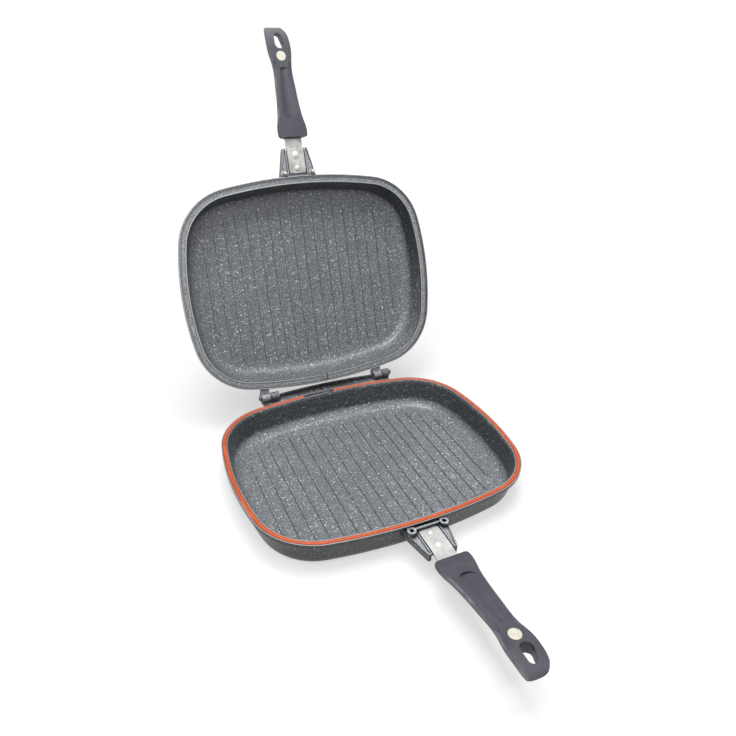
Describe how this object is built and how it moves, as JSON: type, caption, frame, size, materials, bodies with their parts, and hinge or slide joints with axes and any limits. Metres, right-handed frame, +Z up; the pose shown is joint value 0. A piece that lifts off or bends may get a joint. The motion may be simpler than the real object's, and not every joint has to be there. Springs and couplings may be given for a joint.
{
  "type": "double sided flip pan",
  "caption": "Two shallow ribbed pans with rounded rectangular rims, hinged at the back, gasket in the lower rim, each with a riveted tang and a moulded grip.",
  "frame": {"origin": "middle of the lower pan's flat base, on the surface it stands on", "axes": "+X to the right along the hinge, +Y back towards the hinge, handle of the lower half towards -Y, +Z up"},
  "size_m": [0.32, 0.612, 0.4436],
  "materials": {
    "stone_coating": "cast aluminium with a grey stone effect non-stick coat with pale flecks",
    "silicone": "orange red silicone",
    "tang_steel": "rolled stainless strip, satin",
    "rivet_metal": "bright domed rivets",
    "bakelite": "blue grey moulded bakelite, satin",
    "magnet_core": "sintered magnet",
    "magnet_cap": "pale plated cap",
    "screw_steel": "plated screw",
    "pin_steel": "steel pin"
  },
  "bodies": {
    "lower_half": {"lower_pan": "stone_coating", "gasket": "silicone", "lower_tang": "tang_steel", "lower_rivet_inner": "rivet_metal", "lower_rivet_outer": "rivet_metal", "lower_grip": "bakelite", "lower_magnet": "magnet_core", "lower_magnet_cap": "magnet_cap", "lower_grip_screw": "screw_steel", "hinge_pin_left": "pin_steel", "hinge_pin_right": "pin_steel"},
    "upper_half": {"upper_pan": "stone_coating", "upper_tang": "tang_steel", "upper_rivet_inner": "rivet_metal", "upper_rivet_outer": "rivet_metal", "upper_grip": "bakelite", "upper_magnet": "magnet_core", "upper_magnet_cap": "magnet_cap", "upper_grip_screw": "screw_steel", "locating_peg_left": "pin_steel", "locating_peg_right": "pin_steel"}
  },
  "joints": [
    {"name": "lid_hinge", "type": "hinge", "parent": "lower_half", "child": "upper_half", "pos_m": [0, 0.1337, 0.0404], "axis": [1, 0, 0], "range_deg": [0, 110.7]}
  ]
}
